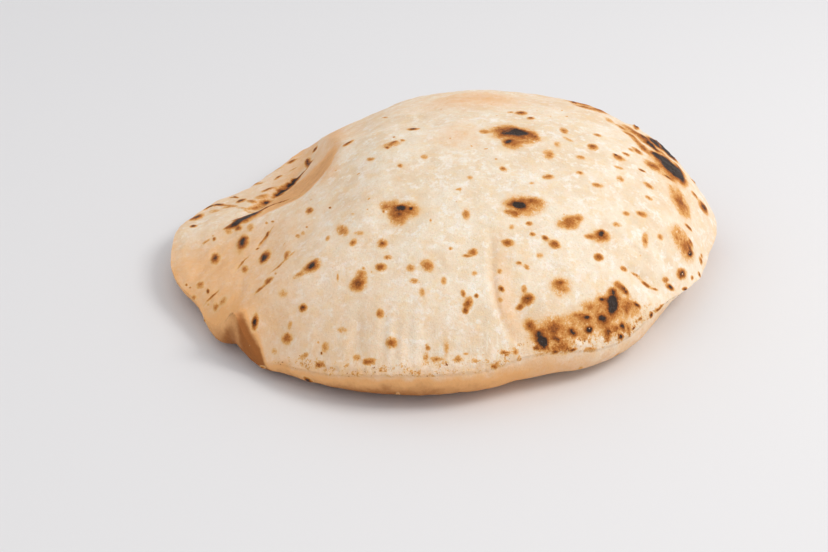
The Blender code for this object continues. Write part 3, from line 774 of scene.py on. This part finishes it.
def skin_tone(grid, seam):
    """How tan the skin is between its marks, with shade painted into it by place, and the lower skin
    browner than the upper.
    """
    tone = upper_tone(grid[..., 0], grid[..., 1])
    degrees = np.degrees(sector_angles()) % 360.0
    # Painted shade in the corner where the dome ends sharply over the flap: dark left of a slanting edge.
    edge = CORNER_DEGREES + 0.5 * np.clip(seam, -8, 8)
    corner = smooth(edge + 1.5, edge - 0.5, degrees) * smooth(edge - 10.5, edge - 4.5, degrees)
    at_seam = CORNER_SHADE * corner + SEAM_TAN * front_share(sector_angles())
    tone = tone + smooth(-6, 0, seam) * at_seam
    # The lower skin is browner than the upper, and the corner's painted shade carries on down it.
    lower = LOWER_TAN - 1.05 * smooth(255, 305, degrees) + 0.7 * corner
    # Painted shade low on the lip at the front left, where it turns under towards what it rests on.
    lower = lower + 0.25 * smooth(4, 12, seam) * smooth(290, 250, degrees)
    share = smooth(-3, 8, seam + 1.8 * uneven(grid, 5, 41))
    return tone + (lower - tone) * share


def finished_surface():
    """The fine grid of the skin in the finished frame, and the values its look needs."""
    angle = sector_angles()
    grid = np.concatenate((top_grid(angle), belly_grid(angle), under_grid(angle)))
    normals = skin_normals(grid)
    places = grid - MIDDLE
    seam = below_seam(grid)
    groups = grouped(seen_marks(places, normals) + hidden_marks(places, normals))
    lines = line_heat(places, uneven(places, 3.6, 31)) * smooth(0.5, -1, seam)
    patchy = 1.0 + 0.5 * uneven(places, 4.2, 43)
    broad = np.hypot(mark_heat(places, groups[-1]) * patchy, lines)
    every = np.hypot(mark_heat(places, sum(groups, [])), lines)
    relief = skin_relief(places, seam, every)
    rim = np.where(seam < 0.0, np.exp(seam / 9.0), np.exp(-seam / 1.5)) * front_share(angle)
    values = {"scorch": broad, "tone": skin_tone(grid, seam), "rim": rim}
    for number, group in enumerate(groups[:-1]):
        values[f"marks_{number}"] = drawn_group(places, group)
    return places + relief_normals(normals, seam) * relief[..., None], values


def ring_sectors(share):
    """How many sectors a ring has: fewer near its middle, so that no face is a sliver."""
    if share < 1e-6:
        return 1
    return SECTORS >> sum(share < limit for limit in HALVING_SHARES)


def neighbours(ring):
    """Each point of a closed ring with the one after it."""
    return zip(ring, (*ring[1:], ring[0]))


def joined(inner, outer):
    """Faces between two rings; the outer may have twice the points of the inner."""
    if len(inner) == 1:
        return [(inner[0], far, far_after) for far, far_after in neighbours(outer)]
    if len(inner) == len(outer):
        return [(near, far, far_after, near_after) for (near, near_after), (far, far_after)
                in zip(neighbours(inner), neighbours(outer))]
    faces = []
    around_both = zip(neighbours(inner), neighbours(outer[::2]), outer[1::2])
    for (near, near_after), (far, far_after), half in around_both:
        faces += [(near, far, half), (near, half, near_after), (near_after, half, far_after)]
    return faces


def bread_faces():
    """Points kept of the full grid, as (ring, sector), and the faces between them."""
    kept = []
    rings = []
    for ring, share in enumerate(ring_shares()):
        count = ring_sectors(share)
        rings.append(range(len(kept), len(kept) + count))
        kept.extend((ring, sector) for sector in range(0, SECTORS, SECTORS // count))
    faces = []
    for ring, (here, after) in enumerate(zip(rings, rings[1:])):
        if ring < TOP_RINGS + BELLY_RINGS:
            faces += joined(here, after)
        else:
            faces += [face[::-1] for face in joined(after, here)]
    return kept, faces


def bake_places(surface, kept, faces):
    """Where each corner of each face is in a square picture, on the disc of its skin."""
    steps = np.linalg.norm(np.diff(surface, axis=0), axis=-1).mean(axis=1)
    run = np.concatenate(([0.0], np.cumsum(steps)))
    under_run = run[-1] - run
    rings, sectors = np.array(kept).T
    turn = sector_angles()[sectors]
    outward = np.stack((np.cos(turn), np.sin(turn)), axis=-1)
    top = TOP_DISC_RADIUS * run[rings, None] / run[TOP_RINGS]
    under = UNDER_DISC_RADIUS * under_run[rings, None] / under_run[TOP_RINGS]
    on_top = [max(kept[point][0] for point in face) <= TOP_RINGS for face in faces]
    on_top = np.repeat(on_top, [len(face) for face in faces])[:, None]
    corners = np.concatenate(faces)
    upper = TOP_DISC + top * outward
    lower = UNDER_DISC + under * outward * (1.0, -1.0)
    return np.where(on_top, upper[corners], lower[corners])


def bread_mesh(name):
    """The mesh of the whole skin, with the values that its look reads at each point."""
    surface, values = finished_surface()
    kept, faces = bread_faces()
    rings, sectors = np.array(kept).T
    mesh = bpy.data.meshes.new(name)
    mesh.from_pydata((surface[rings, sectors] * METRES_PER_MM).tolist(), [], faces)
    mesh.shade_smooth()
    for label, numbers in values.items():
        kind, field = ("FLOAT", "value") if numbers.ndim == 2 else ("FLOAT_VECTOR", "vector")
        stored = mesh.attributes.new(label, kind, "POINT")
        stored.data.foreach_set(field, numbers[rings, sectors].astype(np.float32).ravel())
    layer = mesh.uv_layers.new(name="OFBake")
    layer.data.foreach_set("uv", bake_places(surface, kept, faces).astype(np.float32).ravel())
    return mesh


# ---- materials

PALE = (0.905, 0.78, 0.615, 1)
CREAM = (0.825, 0.655, 0.465, 1)
WARM = (0.88, 0.66, 0.4, 1)
FLOUR = (0.96, 0.9, 0.81, 1)
# The tan and deep tan colour both the real browning and the shade painted into the skin.
TAN_AND_SHADE = (0.85, 0.445, 0.178, 1)
DEEP_TAN_AND_SHADE = (0.34, 0.115, 0.025, 1)
SPECKLE = (0.62, 0.46, 0.3, 1)
ASH = (0.085, 0.07, 0.066, 1)

# Colours of the skin as it is scorched more and more.
SCORCHED = (
    (0.08, (0.85, 0.57, 0.3)), (0.28, (0.75, 0.38, 0.12)), (0.5, (0.56, 0.2, 0.038)),
    (0.74, (0.33, 0.092, 0.012)), (0.93, (0.12, 0.04, 0.01)), (1, (0.034, 0.019, 0.013)),
)

# Patches of the skin, as noise: (size in millimetres, detail, roughness, shift) and then the
# range of the noise over which a patch comes on, and its strength.
BLOTCHES = (14, 3, 0.55, 1), (0.38, 0.66), 1
WARM_PATCHES = (5, 5, 0.65, 27), (0.46, 0.66), 0.62
FLOUR_PATCHES = (3.2, 5, 0.7, 5), (0.48, 0.64), 0.75
GRAIN = (0.8, 4, 0.7, 7), (0.5, 0.72), 0.42
CRUMBS = (2.4, 4, 0.8, 21), (0.47, 0.68), 0.46
SPECKS = (0.9, 2, 0.6, 23), (0.65, 0.72), 0.85
FRECKLES = (3.4, 1, 0.4, 25), (0.715, 0.8), 0.30
ASH_SPECKS = (1, 4, 0.7, 37), (0.5, 0.68), 0.75

# Noise that is added to the tan and the painted shade of the skin: (size, strength, shift).
TONE_NOISES = ((5, 0.62, 9), (1.3, 0.34, 33))

RAGGED_EDGES = 1.2
FINE_EDGES = 0.6
BUMP_METRES = 0.0008


def set_inputs(node, inputs):
    """Set inputs of a node, by name or number, or link them to an output of another node."""
    for name, value in inputs.items():
        if isinstance(value, bpy.types.NodeSocket):
            node.id_data.links.new(value, node.inputs[name])
        else:
            node.inputs[name].default_value = value


def new_material(name):
    """A material, its node tree and its shader."""
    material = bpy.data.materials.new(name)
    material.use_nodes = True
    return material, material.node_tree, material.node_tree.nodes["Principled BSDF"]


class Nodes:
    """Short ways to add nodes to one tree."""

    def __init__(self, tree):
        self.tree = tree
        self.place = tree.nodes.new("ShaderNodeTexCoord").outputs["Object"]

    def add(self, kind, inputs=(), **settings):
        """A node with these settings and inputs."""
        node = self.tree.nodes.new("ShaderNode" + kind)
        for name, value in settings.items():
            setattr(node, name, value)
        set_inputs(node, dict(inputs))
        return node

    def math(self, operation, *values):
        return self.add("Math", enumerate(values), operation=operation).outputs["Value"]

    def stretched(self, factors):
        """Places squeezed by these factors along x, y and z, so that noise there is streaky."""
        inputs = {0: self.place, 1: factors}
        return self.add("VectorMath", inputs, operation="MULTIPLY").outputs["Vector"]

    def noise(self, size, detail, roughness, shift=0.0, place=None):
        """Noise with features of about this size in millimetres, from 0 to 1."""
        inputs = {"Vector": place or self.place, "Scale": 1.0 / (size * METRES_PER_MM),
                  "Detail": detail, "Roughness": roughness, "W": shift}
        return self.add("TexNoise", inputs, noise_dimensions="4D").outputs["Fac"]

    def attribute(self, name, output="Fac"):
        return self.add("Attribute", attribute_name=name).outputs[output]

    def rise(self, value, low, high, top=1.0):
        """Map a range of a value smoothly onto 0 to top, clamped."""
        inputs = {"Value": value, "From Min": low, "From Max": high, "To Max": top}
        return self.add("MapRange", inputs, interpolation_type="SMOOTHSTEP").outputs["Result"]

    def patches(self, kind):
        """Patches of noise of one of the kinds above."""
        looks, span, strength = kind
        return self.rise(self.noise(*looks), *span, strength)

    def mix(self, share, first, second):
        """Mix two colours. The node has them as its inputs 6 and 7, and the result as output 2."""
        return self.add("Mix", {0: share, 6: first, 7: second}, data_type="RGBA").outputs[2]

    def ramp(self, value, stops):
        node = self.add("ValToRGB", {"Fac": value})
        elements = node.color_ramp.elements
        while len(elements) < len(stops):
            elements.new(1.0)
        for element, (place, colour) in zip(elements, stops):
            element.position = place
            element.color = (*colour, 1.0)
        return node.outputs["Color"]


def drawn_heat(nodes, number):
    """Heat of one group of marks, from their coordinates, as a signed square."""
    values = nodes.attribute(f"marks_{number}", "Vector")
    along, across, heat = nodes.add("SeparateXYZ", {"Vector": values}).outputs
    square = nodes.math("MULTIPLY_ADD", along, along, nodes.math("MULTIPLY", across, across))
    fading = nodes.math("EXPONENT", nodes.math("MULTIPLY", square, -1.0))
    heat = nodes.math("MULTIPLY", heat, fading)
    return nodes.math("MULTIPLY", heat, nodes.math("ABSOLUTE", heat))


def skin_heat(nodes, rim):
    """How scorched the skin is, with ragged marks and fine crumbs along the seam."""
    heat = nodes.attribute("scorch")
    heat = nodes.math("MULTIPLY", heat, heat)
    for number in range(GROUPS):
        heat = nodes.math("ADD", heat, drawn_heat(nodes, number))
    heat = nodes.math("SQRT", nodes.math("MAXIMUM", heat, 0.0))
    ragged = nodes.math("SUBTRACT", nodes.noise(2.4, 5, 0.7), 0.5)
    fine = nodes.math("SUBTRACT", nodes.noise(0.6, 3, 0.6, 3), 0.5)
    fine = nodes.math("MULTIPLY", fine, FINE_EDGES)
    unevenness = nodes.math("MULTIPLY_ADD", ragged, RAGGED_EDGES, fine)
    heat = nodes.math("MULTIPLY_ADD", unevenness, nodes.rise(heat, 0.02, 0.40), heat)
    crumbs = nodes.math("MAXIMUM", nodes.patches(CRUMBS), nodes.patches(SPECKS))
    heat = nodes.math("MULTIPLY_ADD", crumbs, nodes.rise(rim, 0.42, 0.80), heat)
    return nodes.math("MAXIMUM", heat, nodes.patches(FRECKLES))


def skin_base(nodes, rim):
    """Colour of the skin between its marks."""
    streaks = nodes.noise(1.3, 3, 0.6, 29, nodes.stretched((1, 0.16, 0.16)))
    streaks = nodes.math("MULTIPLY", nodes.rise(streaks, 0.45, 0.65, 0.5), nodes.rise(rim, 0.08, 0.5))
    base = nodes.mix(nodes.patches(BLOTCHES), PALE, CREAM)
    base = nodes.mix(nodes.patches(WARM_PATCHES), base, WARM)
    base = nodes.mix(nodes.math("MAXIMUM", nodes.patches(FLOUR_PATCHES), streaks), base, FLOUR)
    base = nodes.mix(nodes.patches(GRAIN), base, SPECKLE)
    # The tone holds the tan and the shade and highlight painted into it.
    tone = nodes.attribute("tone")
    for size, strength, shift in TONE_NOISES:
        uneven_tone = nodes.math("SUBTRACT", nodes.noise(size, 3, 0.6, shift), 0.5)
        tone = nodes.math("MULTIPLY_ADD", uneven_tone, strength, tone)
    base = nodes.mix(nodes.math("MAXIMUM", nodes.math("MINIMUM", tone, 1.0), 0.0), base, TAN_AND_SHADE)
    return nodes.mix(nodes.rise(tone, 1, 2), base, DEEP_TAN_AND_SHADE)


def skin_lift(nodes, heat, rim):
    """Fine grain of the skin, rougher where it is scorched and along the seam."""
    coarse = nodes.noise(1.8, 4, 0.6, 17)
    fuzz = nodes.math("MULTIPLY_ADD", nodes.noise(0.45, 3, 0.6, 15), 0.6, coarse)
    crust = nodes.math("MULTIPLY", nodes.rise(heat, 0.25, 0.8), nodes.noise(0.9, 3, 0.7, 19))
    crumble = nodes.math("MULTIPLY", nodes.rise(rim, 0.5, 0.9), nodes.noise(1.1, 4, 0.7, 35))
    lift = nodes.math("MULTIPLY_ADD", crust, 1.4, fuzz)
    return nodes.math("MULTIPLY_ADD", crumble, 2.0, lift)


def bread_material():
    """Pale floury skin, tan by place and with shade painted in, with its scorch marks."""
    material, tree, shader = new_material("naan_skin")
    nodes = Nodes(tree)
    rim = nodes.attribute("rim")
    heat = skin_heat(nodes, rim)
    colour = nodes.mix(nodes.rise(heat, 0.03, 0.26), skin_base(nodes, rim), nodes.ramp(heat, SCORCHED))
    ash = nodes.math("MULTIPLY", nodes.patches(ASH_SPECKS), nodes.rise(heat, 0.85, 1.2))
    rough = nodes.math("MULTIPLY_ADD", nodes.noise(1.2, 3, 0.6, 13), 0.22, 0.62)
    grain = {"Strength": 0.6, "Distance": BUMP_METRES, "Height": skin_lift(nodes, heat, rim)}
    set_inputs(shader, {
        "Base Color": nodes.mix(ash, colour, ASH),
        "Roughness": nodes.math("SUBTRACT", rough, nodes.rise(heat, 0.5, 1, 0.14)),
        "Normal": nodes.add("Bump", grain).outputs["Normal"],
        "Specular IOR Level": 0.22,
        "Subsurface Weight": 0.06,
        "Subsurface Radius": (0.004, 0.002, 0.001),
        "Subsurface Scale": 1.0,
    })
    return material


def added(name, data):
    """A new object in the scene."""
    thing = bpy.data.objects.new(name, data)
    bpy.context.scene.collection.objects.link(thing)
    return thing


# ---- the bread

bread = added("naan_bread", bread_mesh("naan_bread"))
bread.data.materials.append(bread_material())
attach(bread, "root")
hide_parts("naan")

# ---- floor, light and camera

FLOOR_SIZE = 6.0
FLOOR_DROP = 0.0002
FLOOR_COLOUR = (0.775, 0.765, 0.77, 1)
SKY_COLOUR = (0.97, 0.98, 1, 1)
SKY_STRENGTH = 0.78
KEY_AZIMUTH = math.radians(-10)
KEY_ELEVATION = math.radians(46)
KEY_DISTANCE = 1.1
KEY_SIZE = 0.45
KEY_WATTS = 5.3
KEY_COLOUR = (1, 0.97, 0.93)

# The camera looks down on the bread from its front, level but for a slight roll.
CAMERA_PLACE = Vector((-0.01298, -0.54086, 0.29432))
CAMERA_TILT = math.radians(90) - VIEW_ELEVATION
CAMERA_ROLL = math.radians(-0.29)
CAMERA_LENS = 65.217

middle = 0.5 * (cad_low + cad_high)

floor_place = (middle.x, middle.y, cad_low.z - FLOOR_DROP)
bpy.ops.mesh.primitive_plane_add(size=FLOOR_SIZE, location=floor_place)
floor = bpy.context.object
floor.name = "floor"
floor_look, _, floor_shader = new_material("floor")
set_inputs(floor_shader, {"Base Color": FLOOR_COLOUR, "Roughness": 0.85})
floor.data.materials.append(floor_look)

world = bpy.data.worlds.new("studio")
bpy.context.scene.world = world
world.use_nodes = True
set_inputs(world.node_tree.nodes["Background"], {"Color": SKY_COLOUR, "Strength": SKY_STRENGTH})

key_data = bpy.data.lights.new("key", "AREA")
key_data.size = KEY_SIZE
key_data.energy = KEY_WATTS
key_data.color = KEY_COLOUR
key = added("key", key_data)
towards = Vector((1, 0, 0))
towards.rotate(Euler((0, -KEY_ELEVATION, KEY_AZIMUTH)))
key.location = middle + KEY_DISTANCE * towards
key.rotation_euler = (-towards).to_track_quat("-Z", "Y").to_euler()

camera_data = bpy.data.cameras.new("camera")
camera_data.sensor_width = 36.0
camera_data.lens = CAMERA_LENS
camera_data.clip_start = 0.01
camera = added("camera", camera_data)
tilt = Matrix.Rotation(CAMERA_TILT, 4, "X")
roll = Matrix.Rotation(CAMERA_ROLL, 4, "Z")
camera.matrix_world = Matrix.Translation(CAMERA_PLACE) @ tilt @ roll
bpy.context.scene.camera = camera
bpy.context.scene.view_settings.view_transform = "Standard"
